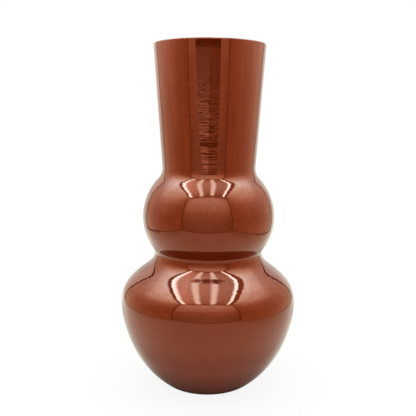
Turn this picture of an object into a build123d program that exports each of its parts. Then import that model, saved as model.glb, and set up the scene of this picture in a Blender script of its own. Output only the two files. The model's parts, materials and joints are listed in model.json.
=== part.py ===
"""Double gourd vase: thrown clay sections with lapped, slip-luted seams, glazed inside and out.

Millimetres, +Z up, origin on the floor under the axis. Every piece is a revolve of a section in the
(radius, height) half plane. The section is a chain of tangent arcs, so moving it inward by an inset keeps
every arc centre: convex arcs lose the inset, concave arcs gain it.
"""
import math
import os

from build123d import *

# overall shape, measured on the glazed outside
height = 280.0
rim_radius = 44.9
neck_root_radius = 36.6
neck_root_rise = 18.6
upper_radius = 54.2
upper_arc = 45.0
bulb_spacing = 69.2
belly_radius = 72.3
belly_height = 72.7
shoulder_arc = 23.3
shoulder_angle = 44.0
shoulder_top_arc = 90.0
neck_fillet = 12.0
waist_high_arc = 6.6
waist_low_arc = 23.5
waist_turn_angle = 29.4
foot_edge_radius = 34.3
heel_arc = 14.9
lip_arc = 0.6

# wall, floor and foot
clay_wall = 4.4
glaze = 0.4
floor_height = 8.0
inner_heel_arc = 16.0
foot_ring_width = 7.0
foot_recess = 2.0
glaze_line = 1.2

# lapped seams between the thrown sections
lap_height = 4.0
slip_gap = 0.5

wall = clay_wall + 2 * glaze

# the upper bulb is stacked on the lower one, and the neck on the upper one
upper_height = belly_height + bulb_spacing
neck_root_height = upper_height + neck_root_rise


def crossing(c1, r1, c2, r2, side):
    """One of the two points at distance r1 from c1 and r2 from c2."""
    dx, dz = c2[0] - c1[0], c2[1] - c1[1]
    dist = math.hypot(dx, dz)
    along = (r1 * r1 - r2 * r2 + dist * dist) / (2 * dist)
    off = side * math.sqrt(max(r1 * r1 - along * along, 0.0))
    return (c1[0] + (along * dx + off * dz) / dist, c1[1] + (along * dz - off * dx) / dist)


def heading(a, b):
    """Angle of the line from a to b, in radians."""
    return math.atan2(b[1] - a[1], b[0] - a[0])


def spot(centre, radius, angle):
    """Point at an angle and a distance from a centre."""
    return (centre[0] + radius * math.cos(angle), centre[1] + radius * math.sin(angle))


# arc centres of the outside
reach = belly_radius - foot_edge_radius
bowl_arc = (reach * reach + belly_height * belly_height) / (2 * reach)
bowl_c = (belly_radius - bowl_arc, belly_height)
heel_c = (
    bowl_c[0] + math.sqrt((bowl_arc - heel_arc) ** 2 - (belly_height - heel_arc) ** 2),
    heel_arc,
)
shoulder_c = (belly_radius - shoulder_arc, belly_height)
beta = math.radians(shoulder_angle)
top_c = spot(shoulder_c, shoulder_arc - shoulder_top_arc, beta)
upper_c = (upper_radius - upper_arc, upper_height)

# the waist's tight hollow runs out onto the shoulder in a wider one; they meet at the turn angle
turn_at = math.radians(waist_turn_angle)
shift = spot((0, 0), waist_low_arc - waist_high_arc, turn_at)
waist_high_c = crossing(
    (top_c[0] - shift[0], top_c[1] - shift[1]),
    shoulder_top_arc + waist_low_arc,
    upper_c,
    upper_arc + waist_high_arc,
    1,
)
waist_low_c = (waist_high_c[0] + shift[0], waist_high_c[1] + shift[1])

# straight neck, leaning outward
flare = math.atan2(rim_radius - neck_root_radius, height - neck_root_height)
neck_normal = -flare


def neck_radius(z, inset):
    """Radius of the neck's straight side at height z, moved inward by the inset."""
    return rim_radius - (height - z) * math.tan(flare) - inset / math.cos(flare)


# the neck fillet touches the neck's straight side and the upper bulb from outside
depth = (neck_radius(upper_c[1], 0) - upper_c[0]) * math.cos(flare)
across = depth + neck_fillet
along = math.sqrt((upper_arc + neck_fillet) ** 2 - across**2)
neck_c = (
    upper_c[0] + across * math.cos(flare) + along * math.sin(flare),
    upper_c[1] - across * math.sin(flare) + along * math.cos(flare),
)

# directions in which neighbouring arcs meet
at_heel = heading(bowl_c, heel_c)
at_waist_low = heading(top_c, waist_low_c)
at_waist_high = heading(upper_c, waist_high_c)
at_neck_low = heading(upper_c, neck_c)

# lip: two rounded edges with a narrow flat between them
lip_z = height - lip_arc
lip_out = (neck_radius(lip_z, lip_arc), lip_z)
lip_in = (neck_radius(lip_z, wall - lip_arc), lip_z)
lip_mid = (lip_out[0] + lip_in[0]) / 2

# rounded corner between the inner wall and the floor
inner_c_z = floor_height + glaze + inner_heel_arc
inner_c = (
    bowl_c[0] + math.sqrt((bowl_arc - wall - inner_heel_arc) ** 2 - (belly_height - inner_c_z) ** 2),
    inner_c_z,
)
at_inner_heel = heading(bowl_c, inner_c)


def arc(centre, radius, start, end):
    """Arc between two angles about a centre."""
    mid = (start + end) / 2
    return ThreePointArc(*[Vector(*spot(centre, radius, a)) for a in (start, mid, end)])


def wall_arcs(inset):
    """The side from the belly's equator up to the neck's straight part, moved inward by the inset."""
    return [
        arc(shoulder_c, shoulder_arc - inset, 0, beta),
        arc(top_c, shoulder_top_arc - inset, beta, at_waist_low),
        arc(waist_low_c, waist_low_arc + inset, at_waist_low + math.pi, turn_at + math.pi),
        arc(waist_high_c, waist_high_arc + inset, turn_at + math.pi, at_waist_high + math.pi),
        arc(upper_c, upper_arc - inset, at_waist_high, at_neck_low),
        arc(neck_c, neck_fillet + inset, at_neck_low - math.pi, neck_normal - math.pi),
    ]


def join(*points):
    """Straight lines through the points, leaving out steps of no length."""
    pairs = [(Vector(*a), Vector(*b)) for a, b in zip(points, points[1:])]
    return [Line(a, b) for a, b in pairs if (b - a).length > 1e-6]


def ends(edge):
    """Start and end of an edge in the section plane."""
    a, b = edge @ 0, edge @ 1
    return (a.X, a.Y), (b.X, b.Y)


def outside(inset, low):
    """Outer side from the heel, where it reaches height low, up to the middle of the lip."""
    start = -math.asin((heel_arc - low) / (heel_arc - inset))
    edges = [
        arc(heel_c, heel_arc - inset, start, at_heel),
        arc(bowl_c, bowl_arc - inset, at_heel, 0),
        *wall_arcs(inset),
    ]
    lip = arc(lip_out, lip_arc - inset, neck_normal, math.pi / 2)
    edges += join(ends(edges[-1])[1], ends(lip)[0])
    edges += [lip]
    edges += join(ends(lip)[1], (lip_mid, height - inset))
    return edges


def inside(inset):
    """Inner side from the middle of the lip down to the floor on the axis; the inset goes into the wall."""
    deep = wall - inset
    lip = arc(lip_in, lip_arc - inset, math.pi / 2, math.pi + neck_normal)
    edges = join((lip_mid, height - inset), ends(lip)[0])
    edges += [lip]
    side = wall_arcs(deep)
    edges += join(ends(lip)[1], ends(side[-1])[1])
    edges += side[::-1]
    edges += [
        arc(bowl_c, bowl_arc - deep, 0, at_inner_heel),
        arc(inner_c, inner_heel_arc + inset, at_inner_heel, -math.pi / 2),
    ]
    edges += join((inner_c[0], floor_height + glaze - inset), (0, floor_height + glaze - inset))
    return edges


def region(edges):
    """Flat face in the sketch plane inside a closed chain of edges."""
    return Sketch() + make_face(edges)


def turn(sketch):
    """Revolves a section about the vertical axis."""
    return revolve(Plane.XZ * sketch, axis=Axis.Z)


# the clay body's section, whole
ring_in = heel_c[0] - foot_ring_width
clay = region(
    outside(glaze, glaze)
    + inside(glaze)
    + join(
        (0, floor_height),
        (0, foot_recess),
        (ring_in, foot_recess),
        (ring_in, 0),
        (heel_c[0], 0),
        (heel_c[0], glaze),
    )
)

# seams: height of the outer ledge and radius of the lap's inner half
neck_seam = ends(wall_arcs(0)[-1])[1][1] + lap_height
seams = {
    "belly": (belly_height - lap_height / 2, belly_radius - wall / 2),
    "waist": (waist_high_c[1] - lap_height / 2, waist_high_c[0] - waist_high_arc - wall / 2),
    "upper_belly": (upper_height - lap_height / 2, upper_radius - wall / 2),
    "neck": (neck_seam, neck_radius(neck_seam + lap_height / 2, wall / 2)),
}
far = 2 * belly_radius
above = 2 * height


def ledge(seam, lift):
    """Stepped seam line from the axis outward: the inner half stands up by the lap height."""
    z, r = seams[seam]
    mid = r - slip_gap / 2 + lift
    return [(0, z + lap_height + lift), (mid, z + lap_height + lift), (mid, z + lift), (far, z + lift)]


def band(low, high):
    """Everything between two stepped lines."""
    return region(join(*low, *high[::-1], low[0]))


ground = [(0, -height), (far, -height)]
sky = [(0, above), (far, above)]
order = list(seams)
sections = ["lower_bowl", "lower_shoulder", "upper_bowl", "upper_shoulder", "neck"]
lows = [ground] + [ledge(seam, slip_gap) for seam in order]
highs = [ledge(seam, 0) for seam in order] + [sky]

pieces = {}
for name, low, high in zip(sections, lows, highs):
    pieces[name] = turn(clay & band(low, high))
for seam in order:
    pieces[seam + "_slip"] = turn(clay & band(ledge(seam, 0), ledge(seam, slip_gap)))

# glaze coats, meeting on the crown of the lip
coat_out = outside(0, glaze_line)
coat_in = outside(glaze, glaze_line)
pieces["outer_glaze"] = turn(
    region(
        coat_out
        + coat_in
        + join(ends(coat_out[0])[0], ends(coat_in[0])[0])
        + join((lip_mid, height), (lip_mid, height - glaze))
    )
)
pieces["inner_glaze"] = turn(
    region(
        inside(0)
        + inside(glaze)
        + join((lip_mid, height), (lip_mid, height - glaze))
        + join((0, floor_height + glaze), (0, floor_height))
    )
)

os.makedirs("parts", exist_ok=True)
for name, shape in pieces.items():
    solid = shape.solids()[0]
    solid.label = name
    export_step(solid, f"parts/{name}.step")
    print(name, len(shape.solids()), round(solid.volume, 1), solid.is_valid)
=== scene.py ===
"""Looks of the double gourd vase: a glossy rust-red glaze over thrown stoneware, in soft tent light."""
import json
import math

import bpy
import numpy as np
from mathutils import Matrix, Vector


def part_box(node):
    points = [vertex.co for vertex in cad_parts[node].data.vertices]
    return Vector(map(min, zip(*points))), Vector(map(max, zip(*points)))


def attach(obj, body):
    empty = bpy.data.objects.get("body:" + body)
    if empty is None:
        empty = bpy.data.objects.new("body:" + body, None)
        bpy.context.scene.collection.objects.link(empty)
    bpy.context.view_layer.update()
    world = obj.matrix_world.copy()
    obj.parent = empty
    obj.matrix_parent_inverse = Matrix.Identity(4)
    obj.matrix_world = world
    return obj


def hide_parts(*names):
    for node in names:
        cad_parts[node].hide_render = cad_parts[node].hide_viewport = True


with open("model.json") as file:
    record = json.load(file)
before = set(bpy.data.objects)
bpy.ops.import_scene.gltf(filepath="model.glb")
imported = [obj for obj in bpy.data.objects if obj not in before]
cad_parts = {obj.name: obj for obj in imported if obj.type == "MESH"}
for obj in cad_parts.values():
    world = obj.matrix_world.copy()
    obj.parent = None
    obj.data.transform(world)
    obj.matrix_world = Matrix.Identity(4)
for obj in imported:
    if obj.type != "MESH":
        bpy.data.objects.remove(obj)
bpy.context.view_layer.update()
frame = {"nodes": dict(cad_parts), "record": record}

MM = 0.001
TURN = 2 * math.pi
BODY = "root"

# the vase's own sizes in millimetres, the same as in its solids
coat_low, coat_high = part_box("outer_glaze")
height = coat_high.z / MM
belly_radius = coat_high.x / MM
glaze_line = coat_low.z / MM
rim_radius = 44.9
neck_root_radius = 36.6
neck_root_rise = 18.6
upper_radius = 54.2
upper_arc = 45.0
bulb_spacing = 69.2
belly_height = 72.7
shoulder_arc = 23.3
shoulder_angle = 44.0
shoulder_top_arc = 90.0
neck_fillet = 12.0
waist_high_arc = 6.6
waist_low_arc = 23.5
waist_turn_angle = 29.4
foot_edge_radius = 34.3
heel_arc = 14.9
lip_arc = 0.6
wall = 5.2
glaze = 0.4
floor_height = 8.0
inner_heel_arc = 16.0
upper_height = belly_height + bulb_spacing
neck_root_height = upper_height + neck_root_rise

# how far under the crown of the lip the glaze begins to thin, and where it is thinnest
thin_below = 1.2
thin_above = 0.3

# fineness of the turned meshes, in millimetres along the section and in parts of a turn
segments = 128
fine_step = 0.6
inner_step = 1.0
hidden_step = 4.5

# depth of the finest throwing ripples by height, both in millimetres
ripple_depth = [
    (0.0, 0.012),
    (75.0, 0.012),
    (85.0, 0.045),
    (105.0, 0.045),
    (118.0, 0.012),
    (140.0, 0.02),
    (152.0, 0.045),
    (170.0, 0.06),
    (185.0, 0.015),
    (276.0, 0.015),
    (278.0, 0.0),
    (280.0, 0.0),
]

# throwing rings: pitch and depth in millimetres of the wide, the close and the tight ones
ring_pitch = (9.7, 4.6, 2.7)
ring_depth = (0.012, 0.011, 0.004)

# the rings' share on the bulbs, how far up the neck they reach full depth, and their fade under the rim
bulb_ring_share = 0.35
neck_ring_rise = 15.0
rim_fade_from = 25.0
rim_fade_to = 10.0
rim_fade_share = 0.8

# slow unevenness of the round, in millimetres
oval_depth = 0.05
three_sided_depth = 0.03

# rounding of the outside where its bend turns round: blur and reach in millimetres along the section
ease_shoulder = (4.6, 22.0)
ease_bulb = (2.6, 13.0)


def crossing(c1, r1, c2, r2):
    """The outer one of the two points at distance r1 from c1 and r2 from c2."""
    dx, dz = c2[0] - c1[0], c2[1] - c1[1]
    dist = math.hypot(dx, dz)
    along = (r1 * r1 - r2 * r2 + dist * dist) / (2 * dist)
    off = math.sqrt(r1 * r1 - along * along)
    return (c1[0] + (along * dx + off * dz) / dist, c1[1] + (along * dz - off * dx) / dist)


def heading(a, b):
    """Angle of the line from a to b, in radians."""
    return math.atan2(b[1] - a[1], b[0] - a[0])


def spot(centre, radius, angle):
    """Point at an angle and a distance from a centre."""
    return (centre[0] + radius * math.cos(angle), centre[1] + radius * math.sin(angle))


# arc centres of the outside, in the (radius, height) half plane
reach = belly_radius - foot_edge_radius
bowl_arc = (reach * reach + belly_height * belly_height) / (2 * reach)
bowl_c = (belly_radius - bowl_arc, belly_height)
heel_x = bowl_c[0] + math.sqrt((bowl_arc - heel_arc) ** 2 - (belly_height - heel_arc) ** 2)
heel_c = (heel_x, heel_arc)
shoulder_c = (belly_radius - shoulder_arc, belly_height)
beta = math.radians(shoulder_angle)
top_c = spot(shoulder_c, shoulder_arc - shoulder_top_arc, beta)
upper_c = (upper_radius - upper_arc, upper_height)
turn_at = math.radians(waist_turn_angle)
shift_r, shift_z = spot((0, 0), waist_low_arc - waist_high_arc, turn_at)
waist_high_c = crossing(
    (top_c[0] - shift_r, top_c[1] - shift_z),
    shoulder_top_arc + waist_low_arc,
    upper_c,
    upper_arc + waist_high_arc,
)
waist_low_c = (waist_high_c[0] + shift_r, waist_high_c[1] + shift_z)
flare = math.atan2(rim_radius - neck_root_radius, height - neck_root_height)


def neck_radius(z, inset):
    """Radius of the neck's straight side at height z, moved inward by the inset."""
    return rim_radius - (height - z) * math.tan(flare) - inset / math.cos(flare)


across = (neck_radius(upper_c[1], 0) - upper_c[0]) * math.cos(flare) + neck_fillet
along = math.sqrt((upper_arc + neck_fillet) ** 2 - across**2)
neck_c = (
    upper_c[0] + across * math.cos(flare) + along * math.sin(flare),
    upper_c[1] - across * math.sin(flare) + along * math.cos(flare),
)
at_heel = heading(bowl_c, heel_c)
at_waist_low = heading(top_c, waist_low_c)
at_waist_high = heading(upper_c, waist_high_c)
at_neck = heading(upper_c, neck_c)
lip_z = height - lip_arc
lip_out = (neck_radius(lip_z, lip_arc), lip_z)
lip_in = (neck_radius(lip_z, wall - lip_arc), lip_z)
lip_mid = (lip_out[0] + lip_in[0]) / 2
inner_c_z = floor_height + glaze + inner_heel_arc
inner_reach = math.sqrt((bowl_arc - wall - inner_heel_arc) ** 2 - (belly_height - inner_c_z) ** 2)
inner_c = (bowl_c[0] + inner_reach, inner_c_z)
at_inner_heel = heading(bowl_c, inner_c)


def arc(centre, radius, start, end, step):
    """Points along an arc, no further apart than the step."""
    count = max(3, math.ceil(abs(end - start) * radius / step))
    angles = np.linspace(start, end, count + 1)
    return np.c_[centre[0] + radius * np.cos(angles), centre[1] + radius * np.sin(angles)]


def straight(a, b, step):
    """Points along a line, both ends included."""
    count = max(1, math.ceil(math.dist(a, b) / step))
    return np.linspace(a, b, count + 1)


def chain(runs):
    """Runs of points joined end to end, each shared end once."""
    return np.vstack([runs[0]] + [run[1:] for run in runs[1:]])


def side_runs(inset, step):
    """The side from the belly's equator to the neck's straight part."""
    return [
        arc(shoulder_c, shoulder_arc - inset, 0, beta, step),
        arc(top_c, shoulder_top_arc - inset, beta, at_waist_low, step),
        arc(waist_low_c, waist_low_arc + inset, at_waist_low + math.pi, turn_at + math.pi, step),
        arc(waist_high_c, waist_high_arc + inset, turn_at + math.pi, at_waist_high + math.pi, step),
        arc(upper_c, upper_arc - inset, at_waist_high, at_neck, step),
        arc(neck_c, neck_fillet + inset, at_neck - math.pi, -flare - math.pi, step),
    ]


def outside(inset, step):
    """Outer side from the glaze line above the foot up to the crown of the lip."""
    start = -math.asin((heel_arc - glaze_line) / (heel_arc - inset))
    runs = [
        arc(heel_c, heel_arc - inset, start, at_heel, step),
        arc(bowl_c, bowl_arc - inset, at_heel, 0, step),
        *side_runs(inset, step),
    ]
    lip = arc(lip_out, lip_arc - inset, -flare, math.pi / 2, min(step, lip_arc / 4))
    runs.append(straight(runs[-1][-1], lip[0], step))
    runs.append(lip)
    runs.append(straight(lip[-1], (lip_mid, height - inset), step))
    return chain(runs)


def inside(inset, step):
    """Inner side from the floor on the axis up to the crown of the lip; the inset goes into the wall."""
    deep = wall - inset
    floor_z = floor_height + glaze - inset
    runs = [
        straight((0, floor_z), (inner_c[0], floor_z), step),
        arc(inner_c, inner_heel_arc + inset, -math.pi / 2, at_inner_heel, step),
        arc(bowl_c, bowl_arc - deep, at_inner_heel, 0, step),
        *side_runs(deep, step),
    ]
    lip = arc(lip_in, lip_arc - inset, math.pi - flare, math.pi / 2, min(step, lip_arc / 4))
    runs.append(straight(runs[-1][-1], lip[0], step))
    runs.append(lip)
    runs.append(straight(lip[-1], (lip_mid, height - inset), step))
    return chain(runs)


def smooth(value, low, high):
    """0 below low, 1 above high, and an even curve between them."""
    t = np.clip((value - low) / (high - low), 0, 1)
    return t * t * (3 - 2 * t)


def eased(path, joint, ease):
    """Path rounded near a joint, so that its bend changes gradually there."""
    blur, reach = ease
    leg = np.linalg.norm(np.diff(path, axis=0), axis=1)
    run = np.concatenate([[0], np.cumsum(leg)])
    weight = np.exp(-(((run[:, None] - run[None, :]) / blur) ** 2) / 2) * np.gradient(run)
    weight /= weight.sum(axis=1)[:, None]
    soft = weight @ path
    soft = 2 * soft - weight @ soft
    off = np.abs(run - run[np.argmin(np.hypot(*(path - joint).T))])
    keep = smooth(off, reach / 2, reach)[:, None]
    return keep * path + (1 - keep) * soft


def rings(z, angle):
    """Height in millimetres of the spiral ridges that the thrower's fingers leave."""
    turn = angle / TURN
    swell = 0.6 + 0.4 * np.sin(z / 11.3 + 0.8) * np.sin(z / 29.0 + 2 * angle)
    rise = smooth(z, neck_root_height, neck_root_height + neck_ring_rise)
    share = bulb_ring_share + (1 - bulb_ring_share) * rise
    share *= 1 - rim_fade_share * smooth(z, height - rim_fade_from, height - rim_fade_to)
    wide = np.sin(TURN * (z / ring_pitch[0] + turn) + 0.6 * np.sin(z / 17.0))
    close = np.sin(TURN * (z / ring_pitch[1] + turn) + 1.1 * np.sin(z / 7.9))
    tight = np.sin(TURN * (z / ring_pitch[2] - turn) + 1.4 * np.sin(z / 5.3 + 1.0))
    return share * swell * (ring_depth[0] * wide + ring_depth[1] * close + ring_depth[2] * tight)


def wobble(z, angle):
    """Slow unevenness of a hand-made round, in millimetres."""
    oval = np.sin(2 * angle + z / 41.0)
    three_sided = np.sin(3 * angle - z / 27.0 + 1.0)
    return oval_depth * oval + three_sided_depth * three_sided


def turned(path, relief):
    """Points of a turned surface: a ring for each point of the path, moved along its normal."""
    step = np.gradient(path, axis=0)
    normal = np.c_[step[:, 1], -step[:, 0]]
    normal /= np.linalg.norm(normal, axis=1)[:, None]
    angle = np.arange(segments) * TURN / segments
    lift = relief(path[:, 1][:, None], angle[None, :]) if relief else np.zeros((len(path), segments))
    radius = path[:, 0][:, None] + lift * normal[:, 0][:, None]
    z = path[:, 1][:, None] + lift * normal[:, 1][:, None]
    return np.stack([radius * np.cos(angle), radius * np.sin(angle), z], axis=2) * MM


def revolve(name, grid, closed):
    """Mesh object from rings of points. A closed one joins its last ring to its first.
    In an open one the first and the last ring are poles."""
    rows = list(grid)
    caps = None if closed else (rows.pop(0)[0], rows.pop()[0])
    verts = np.vstack(rows)
    count = len(rows)
    faces = []
    for i in range(count if closed else count - 1):
        a, b = i * segments, (i + 1) % count * segments
        for j in range(segments):
            k = (j + 1) % segments
            faces.append((a + j, a + k, b + k, b + j))
    if caps:
        low, high = len(verts), len(verts) + 1
        verts = np.vstack([verts, caps])
        last = (count - 1) * segments
        for j in range(segments):
            k = (j + 1) % segments
            faces.append((low, k, j))
            faces.append((last + j, last + k, high))
    mesh = bpy.data.meshes.new(name)
    mesh.from_pydata(verts.tolist(), [], faces)
    mesh.validate()
    mesh.shade_smooth()
    obj = bpy.data.objects.new(name, mesh)
    bpy.context.scene.collection.objects.link(obj)
    return obj


def measured(stops):
    """Ends of the stops' range, and the stops with their places as shares of it."""
    low, high = stops[0][0], stops[-1][0]
    return low, high, [((place - low) / (high - low), value) for place, value in stops]


class Nodes:
    """Short way to write a material's node tree."""

    def __init__(self, name):
        self.material = bpy.data.materials.new(name)
        self.material.use_nodes = True
        self.tree = self.material.node_tree
        self.tree.nodes.clear()
        self.out = self.tree.nodes.new("ShaderNodeOutputMaterial")

    def add(self, kind, inputs=None, **settings):
        """New node; an input's value is a number, a colour or another node's output."""
        made = self.tree.nodes.new(kind)
        for key, value in settings.items():
            setattr(made, key, value)
        for key, value in (inputs or {}).items():
            if isinstance(value, bpy.types.NodeSocket):
                self.tree.links.new(value, made.inputs[key])
            else:
                made.inputs[key].default_value = value
        return made

    def ramp(self, factor, stops, mode="EASE"):
        """Colour ramp through (place, colour) stops."""
        made = self.add("ShaderNodeValToRGB", {"Fac": factor})
        made.color_ramp.interpolation = mode
        points = made.color_ramp.elements
        while len(points) < len(stops):
            points.new(0.5)
        for point, (place, colour) in zip(points, stops):
            point.position = place
            point.color = (*colour, 1)
        return made.outputs["Color"]

    def tones(self, value, colours):
        """Colour read from (place, colour) stops along a value."""
        low, high, stops = measured(colours)
        return self.ramp(self.spread(value, low, high), stops, "LINEAR")

    def greys(self, value, levels):
        """Level read from (place, level) stops along a value."""
        return self.tones(value, [(place, (level,) * 3) for place, level in levels])

    def spread(self, value, low, high, start=0.0, end=1.0):
        """Value between low and high, spread over start to end."""
        made = self.add(
            "ShaderNodeMapRange",
            {"Value": value, "From Min": low, "From Max": high, "To Min": start, "To Max": end},
        )
        return made.outputs["Result"]

    def mix(self, factor, a, b, mode="MIX"):
        """Two colours mixed."""
        made = self.add("ShaderNodeMix", data_type="RGBA", blend_type=mode)
        for key, value in ((0, factor), (6, a), (7, b)):
            if isinstance(value, bpy.types.NodeSocket):
                self.tree.links.new(value, made.inputs[key])
            else:
                made.inputs[key].default_value = value if key == 0 else (*value, 1)
        return made.outputs[2]

    def math(self, operation, a, b=0.0):
        """One sum on two values."""
        made = self.add("ShaderNodeMath", {0: a, 1: b}, operation=operation)
        return made.outputs["Value"]

    def finish(self, shader):
        """Ends the tree at the surface output."""
        self.tree.links.new(shader.outputs[0], self.out.inputs["Surface"])
        return self.material


def glaze_material(name, body, thin, deep):
    """Glossy iron glaze: clouded rust, rare dark specks, thin on the lip, with fine throwing ripples."""
    n = Nodes(name)
    place = n.add("ShaderNodeTexCoord").outputs["Object"]
    z = n.add("ShaderNodeSeparateXYZ", {"Vector": place}).outputs["Z"]
    cloud = n.add("ShaderNodeTexNoise", {"Vector": place, "Scale": 34, "Detail": 5, "Roughness": 0.55})
    flat = n.add("ShaderNodeMapping", {"Vector": place, "Scale": (1, 1, 6)}).outputs["Vector"]
    streak = n.add("ShaderNodeTexNoise", {"Vector": flat, "Scale": 60, "Detail": 4, "Roughness": 0.6})
    speck = n.add("ShaderNodeTexVoronoi", {"Vector": place, "Scale": 190, "Randomness": 1})
    patch = n.add("ShaderNodeTexNoise", {"Vector": place, "Scale": 75})

    shade = n.mix(n.spread(cloud.outputs["Fac"], 0.35, 0.65), deep, body)
    shade = n.mix(n.spread(streak.outputs["Fac"], 0.55, 0.8, 0.0, 0.25), shade, thin)
    lip = n.spread(z, (height - thin_below) * MM, (height - thin_above) * MM, 0.0, 0.8)
    shade = n.mix(lip, shade, thin)
    spot = n.spread(speck.outputs["Distance"], 0.05, 0.09, 0.75, 0.0)
    rare = n.spread(patch.outputs["Fac"], 0.62, 0.68)
    shade = n.mix(n.math("MULTIPLY", spot, rare), shade, (0.02, 0.006, 0.004))

    level = n.add("ShaderNodeMapping", {"Vector": place, "Scale": (0.12, 0.12, 1)}).outputs["Vector"]
    ripple = n.add("ShaderNodeTexNoise", {"Vector": level, "Scale": 560, "Detail": 2, "Roughness": 0.5})
    depth = n.greys(z, [(at * MM, deep_by) for at, deep_by in ripple_depth])
    relief = n.math("MULTIPLY", ripple.outputs["Fac"], depth)
    bump = n.add("ShaderNodeBump", {"Height": relief, "Strength": 1.0, "Distance": MM})
    gloss = n.spread(cloud.outputs["Fac"], 0.3, 0.7, 0.02, 0.04)
    shader = n.add(
        "ShaderNodeBsdfPrincipled",
        {
            "Base Color": shade,
            "Roughness": gloss,
            "IOR": 1.72,
            "Specular IOR Level": 1.0,
            "Specular Tint": (1.0, 0.32, 0.19, 1),
            "Normal": bump.outputs["Normal"],
        },
    )
    return n.finish(shader)


def clay_material(name, pale, dark):
    """Matt fired clay with sand grains and turning marks."""
    n = Nodes(name)
    place = n.add("ShaderNodeTexCoord").outputs["Object"]
    cloud = n.add("ShaderNodeTexNoise", {"Vector": place, "Scale": 90, "Detail": 6, "Roughness": 0.6})
    sand = n.add("ShaderNodeTexVoronoi", {"Vector": place, "Scale": 1500})
    shade = n.mix(n.spread(cloud.outputs["Fac"], 0.35, 0.7), dark, pale)
    grit = n.spread(sand.outputs["Distance"], 0.1, 0.3, 0.5, 0.0)
    shade = n.mix(grit, shade, (0.16, 0.09, 0.05))
    relief = n.math("ADD", cloud.outputs["Fac"], sand.outputs["Distance"])
    bump = n.add("ShaderNodeBump", {"Height": relief, "Strength": 0.5, "Distance": 0.0001})
    rough = n.spread(cloud.outputs["Fac"], 0.3, 0.7, 0.8, 0.95)
    shader = n.add(
        "ShaderNodeBsdfPrincipled",
        {"Base Color": shade, "Roughness": rough, "Normal": bump.outputs["Normal"]},
    )
    return n.finish(shader)


def dress(obj, material):
    """Gives an object one material."""
    obj.data.materials.clear()
    obj.data.materials.append(material)


# glaze coats as fine turned shells
shoulder_end = spot(top_c, shoulder_top_arc, at_waist_low)
bulb_end = spot(upper_c, upper_arc, at_neck)
outer_path = eased(outside(0, fine_step), shoulder_end, ease_shoulder)
outer_path = eased(outer_path, bulb_end, ease_bulb)
outer_face = turned(outer_path, lambda z, a: rings(z, a) + wobble(z, a))
outer_back = turned(outside(glaze, hidden_step), None)
outer_coat = revolve("outer_coat", np.concatenate([outer_face, outer_back[::-1]]), True)
inner_face = turned(inside(0, inner_step)[1:], lambda z, a: -2 * rings(z, a))
inner_back = turned(inside(glaze, hidden_step)[1:], None)
floor_top = np.zeros((1, segments, 3)) + (0, 0, (floor_height + glaze) * MM)
floor_low = np.zeros((1, segments, 3)) + (0, 0, floor_height * MM)
inner_coat = revolve(
    "inner_coat", np.concatenate([floor_top, inner_face, inner_back[::-1], floor_low]), False
)
rust = (0.118, 0.0125, 0.002)
rust_thin = (0.21, 0.05, 0.016)
rust_deep = (0.104, 0.0105, 0.0017)
dress(outer_coat, glaze_material("rust_glaze", rust, rust_thin, rust_deep))
dress(inner_coat, glaze_material("rust_glaze_inside", rust, rust_thin, rust_deep))
for coat, node in ((outer_coat, "outer_glaze"), (inner_coat, "inner_glaze")):
    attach(coat, BODY)
    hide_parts(node)

# clay sections and luting slip keep their solids
clay = clay_material("fired_clay", (0.42, 0.24, 0.13), (0.3, 0.16, 0.085))
slip = clay_material("fired_slip", (0.34, 0.19, 0.1), (0.25, 0.13, 0.07))
for subpart in frame["record"]["subparts"]:
    slot = subpart["material_slot"]
    if slot in ("clay", "slip"):
        dress(frame["nodes"][subpart["node"]], clay if slot == "clay" else slip)


# the tent in metres, round the vase's axis
tent_mid = -0.03
tent_half = 0.378
tent_left = tent_mid - tent_half
tent_right = tent_mid + tent_half
tent_front = -0.439
tent_back = 0.36
tent_top = 0.679
seam_front = 0.012
seam_back = 0.018
seam_off = 0.003
skirt_front = 0.075
hem_width = 0.008
skirt_lift = 0.001
skirt_front_lift = 0.0015

# lamps under the roof, in metres: a bright pair along the sides and a faint pair nearer the middle
lamp_front = -0.41
lamp_back = 0.3
lamp_drop = 0.01
lamp_inner = 0.09
faint_half = 0.045
faint_core = 0.015
faint_lift = 0.002
bright_edge = 0.012
bright_wide = 0.03
eave_lift = 0.004
eave_lap = 0.004

# side, name, outer edge of the bright lamp, its inner fade, and the widths of dark eave and of the skirt
# of painted shade
lamp_sides = (
    (-1, "left", 0.3225, 0.04, 0.04, 0.035),
    (1, "right", 0.317, 0.02, 0.057, 0.015),
)

# floor, in metres from the vase's axis; the two white levels are for the camera; in reflections only,
# the floor gets painted shade at its sides, behind the vase and round the foot, and a painted glow
# towards the back
floor_half = 4.0
floor_white = 1.03
floor_white_share = 0.86
floor_pale = (0.94, 0.95, 0.88)
floor_side_shade = (0.74, 0.62, 0.45)
floor_behind_shade = (0.66, 0.57, 0.49)
floor_contact_shadow = (0.1, 0.06, 0.03)
floor_painted_glow = (0.6, 0.8, 0.68)
floor_painted_glow_level = 1.1
side_shade_from = (0.18, 0.3)
behind_shade_from = (0.08, 0.16)
behind_shade_within = (0.2, 0.12)
contact_shadow_within = (0.035, 0.065)
contact_shadow_share = 0.66
lift_from = (-0.2, 0.25)
lift_clear_of = (0.08, 0.12)
lift_clear_front = (-0.03, 0.01)


# stage: white floor, and a light tent that only reflections see
def panel(name, corners, material, tent=True):
    """Flat four-cornered stage piece, corners in metres; the tent's pieces show in reflections only."""
    mesh = bpy.data.meshes.new(name)
    mesh.from_pydata(corners, [], [(0, 1, 2, 3)])
    obj = bpy.data.objects.new(name, mesh)
    bpy.context.scene.collection.objects.link(obj)
    dress(obj, material)
    if tent:
        obj.visible_camera = False
        obj.visible_diffuse = False
        obj.visible_shadow = False
        obj.visible_transmission = False


def upright(name, a, b, material):
    """Panel from the floor to the roof between two floor points."""
    panel(name, [(*a, 0), (*b, 0), (*b, tent_top), (*a, tent_top)], material)


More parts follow.
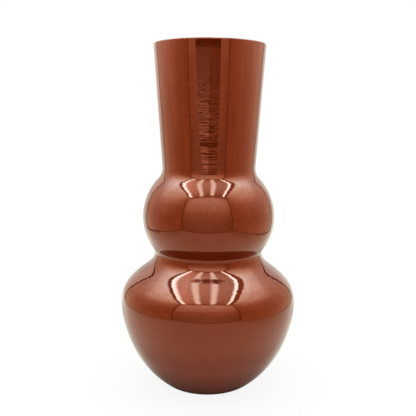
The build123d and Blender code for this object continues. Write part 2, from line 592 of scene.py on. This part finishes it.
def level_panel(name, x0, x1, y0, y1, z, material, tent=True):
    """Panel lying level at height z."""
    panel(name, [(x0, y0, z), (x1, y0, z), (x1, y1, z), (x0, y1, z)], material, tent)


def floor_material():
    """Pale floor that reads as white, with a faint shadow; in reflections only it carries painted shade
    at its sides, behind the vase and round the foot, and a painted glow towards the back.
    """
    n = Nodes("pale_floor")
    rays = n.add("ShaderNodeLightPath").outputs
    place = n.add("ShaderNodeTexCoord").outputs["Object"]
    xyz = n.add("ShaderNodeSeparateXYZ", {"Vector": place}).outputs
    away = n.add("ShaderNodeVectorMath", {0: place}, operation="LENGTH").outputs["Value"]
    mirrored = rays["Is Glossy Ray"]

    # painted shade at the floor's sides, seen in reflections only
    span = n.math("ABSOLUTE", n.math("SUBTRACT", xyz["X"], tent_mid))
    dim = n.math("MULTIPLY", mirrored, n.spread(span, *side_shade_from))
    shade = n.mix(dim, floor_pale, floor_side_shade)
    # painted shade behind the vase, seen in reflections only
    beside = n.math("ABSOLUTE", xyz["X"])
    behind = n.math("MULTIPLY", n.spread(xyz["Y"], *behind_shade_from), n.spread(beside, *behind_shade_within))
    shade = n.mix(n.math("MULTIPLY", mirrored, behind), shade, floor_behind_shade)
    # painted contact shadow round the foot, seen in reflections only
    under = n.math("MULTIPLY", mirrored, n.spread(away, *contact_shadow_within, contact_shadow_share, 0.0))
    shade = n.mix(under, shade, floor_contact_shadow)
    matt = n.add("ShaderNodeBsdfDiffuse", {"Color": shade})

    # painted glow towards the back, seen in reflections only
    clear_of = n.math("MAXIMUM", n.spread(away, *lift_clear_of), n.spread(xyz["Y"], *lift_clear_front))
    rear = n.math("MULTIPLY", n.spread(xyz["Y"], *lift_from, 0.0, floor_painted_glow_level), clear_of)
    rear = n.math("MULTIPLY", rear, n.math("SUBTRACT", 1.0, behind))
    rear = n.math("MULTIPLY", mirrored, rear)
    lift = n.add("ShaderNodeEmission", {"Color": (*floor_painted_glow, 1), "Strength": rear})
    lit = n.add("ShaderNodeAddShader", {0: matt.outputs[0], 1: lift.outputs[0]})

    white = n.add("ShaderNodeEmission", {"Color": (1, 1, 1, 1), "Strength": floor_white})
    share = n.math("MULTIPLY", rays["Is Camera Ray"], floor_white_share)
    shader = n.add("ShaderNodeMixShader", {0: share, 1: lit.outputs[0], 2: white.outputs[0]})
    return n.finish(shader)


def unlit(material):
    """Keeps a glowing stage piece out of the lighting; only reflections meet it."""
    material.cycles.emission_sampling = "NONE"
    return material


def glow_material(name, colour):
    """Evenly bright stage piece."""
    n = Nodes(name)
    return unlit(n.finish(n.add("ShaderNodeEmission", {"Color": (*colour, 1), "Strength": 1.0})))


def cloth_material(name, main_axis, colours, cross_axis, tints, reach=None):
    """Glowing tent cloth with the lamps' light painted in: colour along one axis, tinted along another,
    with painted shade of soft creases.
    Stops are in metres. The reach, along the second axis, scales the place along the first."""
    n = Nodes(name)
    place = n.add("ShaderNodeTexCoord").outputs["Object"]
    xyz = n.add("ShaderNodeSeparateXYZ", {"Vector": place}).outputs
    along = xyz[main_axis]
    if reach:
        along = n.math("MULTIPLY", along, n.greys(xyz[cross_axis], reach))
    shade = n.mix(1.0, n.tones(along, colours), n.tones(xyz[cross_axis], tints), "MULTIPLY")
    # painted shade of soft creases in the cloth
    crease = n.add("ShaderNodeTexNoise", {"Vector": place, "Scale": 9, "Detail": 4, "Distortion": 1.2})
    crease_shade = n.spread(crease.outputs["Fac"], 0.3, 0.7, 0.86, 1.14)
    return unlit(n.finish(n.add("ShaderNodeEmission", {"Color": shade, "Strength": crease_shade})))


def lamp_material(name, edges, colour):
    """Long lamp on the roof: clear, then bright, then clear again between four places along X."""
    n = Nodes(name)
    place = n.add("ShaderNodeTexCoord").outputs["Object"]
    x = n.add("ShaderNodeSeparateXYZ", {"Vector": place}).outputs["X"]
    share = n.greys(x, list(zip(edges, (0.0, 1.0, 1.0, 0.0))))
    clear = n.add("ShaderNodeBsdfTransparent")
    glow = n.add("ShaderNodeEmission", {"Color": (*colour, 1), "Strength": 1.0})
    shader = n.add("ShaderNodeMixShader", {0: share, 1: clear.outputs[0], 2: glow.outputs[0]})
    return unlit(n.finish(shader))


def opening_material(name, colours, depths):
    """Part of the tent's front opening: colour along Y in bands of some depth, and clear from behind."""
    n = Nodes(name)
    place = n.add("ShaderNodeTexCoord").outputs["Object"]
    y = n.add("ShaderNodeSeparateXYZ", {"Vector": place}).outputs["Y"]
    shade = n.tones(y, colours)
    bands = n.add(
        "ShaderNodeTexWave",
        {"Vector": place, "Scale": 40, "Distortion": 2.2, "Detail": 1, "Detail Scale": 0.5},
        bands_direction="Y",
    )
    swing = n.math("MULTIPLY", n.greys(y, depths), n.spread(bands.outputs["Fac"], 0.3, 0.7, -1.0, 1.0))
    glow = n.add("ShaderNodeEmission", {"Color": shade, "Strength": n.math("ADD", swing, 1.0)})
    clear = n.add("ShaderNodeBsdfTransparent")
    behind = n.add("ShaderNodeNewGeometry").outputs["Backfacing"]
    shader = n.add("ShaderNodeMixShader", {0: behind, 1: glow.outputs[0], 2: clear.outputs[0]})
    return unlit(n.finish(shader))


# painted light of the tent's cloth as colour by place in metres, and how far up the side walls' painted
# light reaches
front_up = [
    (0.0, (0.7, 0.56, 0.4)),
    (0.12, (0.74, 0.56, 0.4)),
    (0.18, (1.0, 0.74, 0.52)),
    (0.25, (1.15, 0.86, 0.62)),
    (0.33, (1.6, 1.5, 1.28)),
    (0.44, (2.0, 2.2, 2.05)),
    (0.57, (2.35, 2.7, 2.7)),
    (0.62, (1.8, 1.8, 1.6)),
    (0.65, (1.1, 0.8, 0.6)),
    (tent_top, (0.8, 0.55, 0.4)),
]
front_across = [
    (tent_left, (0.8, 0.65, 0.52)),
    (-0.29, (0.9, 0.85, 0.8)),
    (-0.15, (1.0, 1.0, 1.0)),
    (0.1, (1.0, 1.0, 1.0)),
    (0.22, (0.92, 0.85, 0.8)),
    (tent_right, (0.78, 0.6, 0.48)),
]
side_up = [
    (0.0, (0.95, 0.82, 0.62)),
    (0.09, (0.95, 0.73, 0.5)),
    (0.15, (1.0, 0.78, 0.56)),
    (0.21, (1.12, 0.92, 0.72)),
    (0.27, (1.3, 1.2, 1.02)),
    (0.33, (1.75, 1.95, 1.9)),
    (0.4, (2.35, 3.3, 3.6)),
    (0.48, (2.75, 4.5, 5.2)),
    (0.56, (3.2, 5.9, 7.4)),
    (tent_top, (3.5, 6.9, 9.0)),
]
side_along = [
    (tent_front, (0.85, 0.6, 0.46)),
    (-0.29, (0.88, 0.66, 0.52)),
    (-0.18, (0.95, 0.74, 0.6)),
    (-0.06, (1.06, 0.86, 0.74)),
    (0.06, (1.2, 1.05, 0.96)),
    (0.18, (1.32, 1.25, 1.22)),
    (tent_back, (1.2, 1.12, 1.15)),
]
side_reach = [
    (tent_front, 0.45),
    (-0.39, 0.55),
    (-0.29, 0.74),
    (-0.18, 0.9),
    (-0.06, 1.0),
    (0.06, 0.93),
    (0.18, 0.75),
    (tent_back, 0.58),
]
back_up = [
    (0.0, (1.3, 1.4, 1.3)),
    (0.2, (1.2, 1.15, 1.02)),
    (0.35, (1.45, 1.4, 1.25)),
    (0.5, (1.7, 1.65, 1.4)),
    (tent_top, (2.0, 2.1, 1.9)),
]
back_across = [
    (tent_left, (1.1, 1.0, 0.95)),
    (-0.22, (1.05, 1.0, 1.0)),
    (-0.09, (0.5, 0.5, 0.5)),
    (0.09, (0.5, 0.5, 0.5)),
    (0.22, (1.05, 1.05, 1.05)),
    (tent_right, (1.1, 1.05, 1.05)),
]
roof_along = [
    (tent_front, (0.6, 0.4, 0.25)),
    (-0.4, (1.2, 0.9, 0.65)),
    (-0.33, (1.6, 1.45, 1.3)),
    (-0.2, (2.0, 2.1, 2.0)),
    (0.0, (2.1, 2.4, 2.4)),
    (tent_back, (1.8, 1.8, 1.7)),
]
roof_across = [
    (tent_left, (1.1, 1.1, 1.1)),
    (-0.24, (1.4, 1.4, 1.4)),
    (-0.1, (1.05, 1.05, 1.05)),
    (0.05, (1.0, 1.0, 1.0)),
    (0.18, (0.85, 0.85, 0.85)),
    (tent_right, (0.85, 0.85, 0.85)),
]
front_cloth = cloth_material("front_cloth", "Z", front_up, "X", front_across)
side_cloth = cloth_material("side_cloth", "Z", side_up, "Y", side_along, side_reach)
back_cloth = cloth_material("back_cloth", "Z", back_up, "X", back_across)
roof_cloth = cloth_material("roof_cloth", "Y", roof_along, "X", roof_across)
seam_dark = glow_material("seam_dark", (0.05, 0.03, 0.02))
# a dim strip beside each lamp, painted lamp light on the roof cloth out to the walls, and painted shade
# on the floor along the walls
eave_dark = glow_material("eave_dark", (0.75, 0.42, 0.26))
eave_glow = glow_material("eave_glow", (2.8, 4.6, 5.4))
skirt_shade = glow_material("skirt_shade", (0.52, 0.4, 0.28))
lamp_bright = (8.0, 16.5, 22.0)
lamp_faint = (4.6, 8.4, 10.4)

# the floor, and round it the tent's walls, roof, seams, lamps and skirts
level_panel("floor", -floor_half, floor_half, -floor_half, floor_half, 0, floor_material(), tent=False)
corners = [
    (tent_left, tent_front),
    (tent_right, tent_front),
    (tent_right, tent_back),
    (tent_left, tent_back),
]
upright("tent_front", corners[0], corners[1], front_cloth)
upright("tent_right", corners[1], corners[2], side_cloth)
upright("tent_back", corners[2], corners[3], back_cloth)
upright("tent_left", corners[3], corners[0], side_cloth)
level_panel("tent_roof", tent_left, tent_right, tent_front, tent_back, tent_top, roof_cloth)
for i, (x, y) in enumerate(corners):
    sx, sy = math.copysign(1, -x), math.copysign(1, -y)
    width = seam_front if y < 0 else seam_back
    a = (x + sx * width, y + sy * seam_off)
    b = (x + sx * seam_off, y + sy * width)
    upright(f"tent_seam_{i}", a, b, seam_dark)

hang = tent_top - lamp_drop
for side, name, lamp_outer, fade, eave, skirt_side in lamp_sides:
    outer = tent_mid + side * lamp_outer
    inner = tent_mid + side * lamp_inner
    wall_x = tent_mid + side * tent_half
    steps = (0.0, bright_edge, bright_wide, bright_wide + fade)
    bright = sorted(outer - side * step for step in steps)
    faint = sorted(inner + step for step in (faint_half, faint_core, -faint_core, -faint_half))
    bright_glow = lamp_material(f"lamp_bright_{name}", bright, lamp_bright)
    faint_glow = lamp_material(f"lamp_faint_{name}", faint, lamp_faint)
    level_panel(f"lamp_outer_{name}", bright[0], bright[-1], lamp_front, lamp_back, hang, bright_glow)
    faint_z = hang + faint_lift
    level_panel(f"lamp_inner_{name}", faint[0], faint[-1], lamp_front, lamp_back, faint_z, faint_glow)
    lap_x = outer - side * eave_lap
    eave_x = outer + side * eave
    eave_z = hang + eave_lift
    # a dim eave strip beside the lamp, then the roof cloth out to the wall glowing with painted lamp
    # light
    level_panel(f"tent_eave_{name}", lap_x, eave_x, tent_front, tent_back, eave_z, eave_dark)
    level_panel(f"tent_glow_{name}", eave_x, wall_x, tent_front, tent_back, eave_z, eave_glow)
    # painted shade on the floor along the wall, edged by a dark hem line
    skirt_x = wall_x - side * skirt_side
    hem_x = skirt_x - side * hem_width
    level_panel(f"tent_skirt_{name}", skirt_x, wall_x, tent_front, tent_back, skirt_lift, skirt_shade)
    level_panel(f"tent_hem_{name}", hem_x, skirt_x, tent_front, tent_back, skirt_lift, seam_dark)
# painted shade on the floor along the front, edged by a dark hem line
skirt_y = tent_front + skirt_front
hem_y = skirt_y + hem_width
level_panel("tent_skirt_front", tent_left, tent_right, tent_front, skirt_y, skirt_front_lift, skirt_shade)
level_panel("tent_hem_front", tent_left, tent_right, skirt_y, hem_y, skirt_front_lift, seam_dark)

# the tent's front opening, in which the neck shows the dark room: a slope, clear of the bulbs' view
open_near = -0.083
open_far = -0.349
open_split = -0.002
open_end = (-0.23, 0.17)
open_wide = (-0.175, 0.132)
open_narrow = (-0.014, 0.022)
open_foot_y = -0.08
open_foot_z = 0.17
open_slope = 0.362
pale_half = [(open_far, (0.42, 0.33, 0.25)), (-0.2, (0.68, 0.63, 0.52)), (open_near, (0.8, 0.7, 0.58))]
black_top = [(tent_front, (0.03, 0.02, 0.02)), (open_far, (0.03, 0.02, 0.02))]
dark_half = [(open_far, (0.38, 0.26, 0.16)), (-0.25, (0.36, 0.25, 0.16)), (open_near, (0.4, 0.3, 0.2))]
band_depth = [(open_far, 0.15), (-0.3, 0.4), (-0.2, 0.95), (open_near, 0.95)]
top_depth = [(tent_front, 0.1), (open_far, 0.1)]


def sloping(x, y):
    """Point of the sloping plane that holds the front opening."""
    return (x, y, open_foot_z - open_slope * (y - open_foot_y))


def opening(name, near_y, near_x, far_y, far_x, colours, depths):
    """Part of the front opening between a near and a far edge, each with the X of its two ends."""
    ends = [(near_x[0], near_y), (far_x[0], far_y), (far_x[1], far_y), (near_x[1], near_y)]
    panel(name, [sloping(*end) for end in ends], opening_material(name, colours, depths))


pale_near, pale_far = (open_narrow[0], open_split), (open_wide[0], open_split)
dark_near, dark_far = (open_split, open_narrow[1]), (open_split, open_wide[1])
opening("opening_top", open_far, open_wide, tent_front, open_end, black_top, top_depth)
opening("opening_pale", open_near, pale_near, open_far, pale_far, pale_half, band_depth)
opening("opening_dark", open_near, dark_near, open_far, dark_far, dark_half, band_depth)

# light of the room, from below and from above
sky_low = 0.15
sky_high = 1.45


def white_world():
    """Soft light, stronger from above; the camera sees plain white."""
    world = bpy.data.worlds.new("white_room")
    world.use_nodes = True
    tree = world.node_tree
    sky = tree.nodes["Background"]
    sky.inputs["Color"].default_value = (1, 1, 1, 1)
    place = tree.nodes.new("ShaderNodeTexCoord")
    split = tree.nodes.new("ShaderNodeSeparateXYZ")
    rise = tree.nodes.new("ShaderNodeMapRange")
    rise.inputs["To Min"].default_value = sky_low
    rise.inputs["To Max"].default_value = sky_high
    rays = tree.nodes.new("ShaderNodeLightPath")
    plain = tree.nodes.new("ShaderNodeMix")
    plain.inputs["B"].default_value = 1.0
    tree.links.new(place.outputs["Generated"], split.inputs["Vector"])
    tree.links.new(split.outputs["Z"], rise.inputs["Value"])
    tree.links.new(rays.outputs["Is Camera Ray"], plain.inputs["Factor"])
    tree.links.new(rise.outputs["Result"], plain.inputs["A"])
    tree.links.new(plain.outputs["Result"], sky.inputs["Strength"])
    bpy.context.scene.world = world


def photo_camera():
    """Camera at the photograph's viewing angle, found from the outline."""
    frame_px = 416
    focal_px = 595.2
    off_axis_px = 0.63
    eye = (0, -0.4885, 0.2212)
    aim_z = 0.1484
    roll = math.radians(0.48)
    pitch = math.atan2(eye[2] - aim_z, -eye[1])
    data = bpy.data.cameras.new("camera")
    data.sensor_fit = "HORIZONTAL"
    data.lens = focal_px / frame_px * data.sensor_width
    data.shift_x = -off_axis_px / frame_px
    data.clip_start = 0.01
    camera = bpy.data.objects.new("camera", data)
    bpy.context.scene.collection.objects.link(camera)
    tilt = Matrix.Rotation(math.pi / 2 - pitch, 4, "X") @ Matrix.Rotation(roll, 4, "Z")
    camera.matrix_world = Matrix.Translation(eye) @ tilt
    bpy.context.scene.camera = camera


white_world()
photo_camera()
bpy.context.scene.view_settings.view_transform = "Standard"
